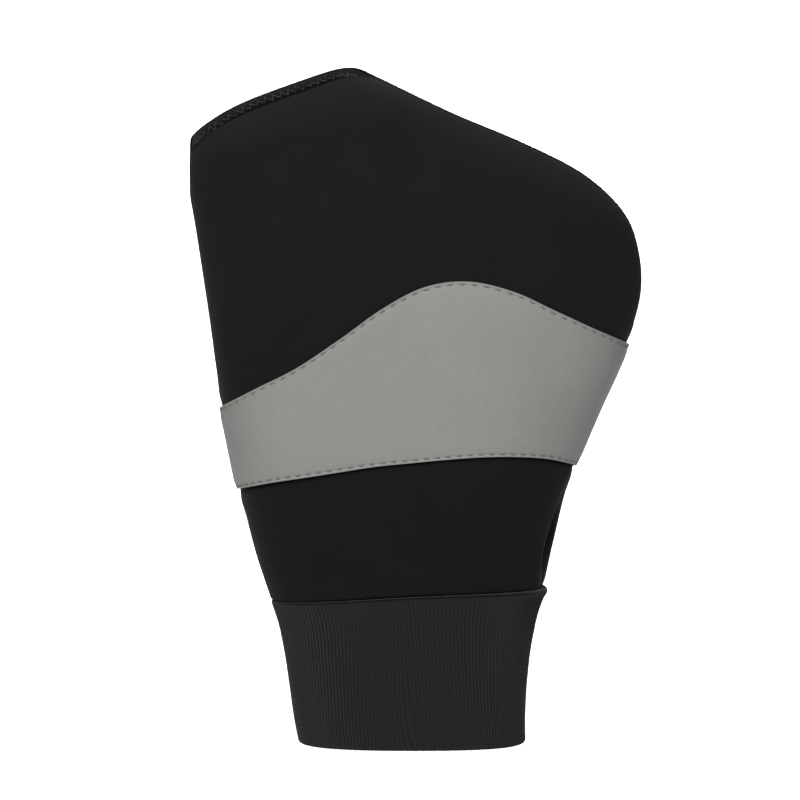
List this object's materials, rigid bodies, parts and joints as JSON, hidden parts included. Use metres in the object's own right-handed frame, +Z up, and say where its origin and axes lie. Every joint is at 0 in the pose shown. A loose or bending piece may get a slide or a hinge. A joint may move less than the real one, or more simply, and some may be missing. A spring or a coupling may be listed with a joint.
{
  "type": "pickleball mitt",
  "caption": "Padded mitt worn over the fist that holds a paddle, with a rib-knit cuff, a slanted mouth for the handle and a wave-edged band.",
  "frame": {"origin": "middle of the cuff's lower rim, where the wrist goes in", "axes": "+Z up the forearm's line towards the mouth, -Y out of the back of the hand, +X towards the knuckle bulge"},
  "size_m": [0.1561, 0.0743, 0.2323],
  "materials": {
    "softshell": "matte black softshell with a fine smooth knit face",
    "rib_knit": "matte charcoal rib knit",
    "band_leather": "satin warm grey coated leather with a fine grain",
    "hem_tape": "matte black, turned and zigzag stitched"
  },
  "bodies": {
    "root": {"back_hand_panel": "softshell", "palm_panel": "softshell", "knit_cuff": "rib_knit", "knuckle_band": "band_leather", "mouth_hem": "hem_tape"}
  },
  "joints": []
}
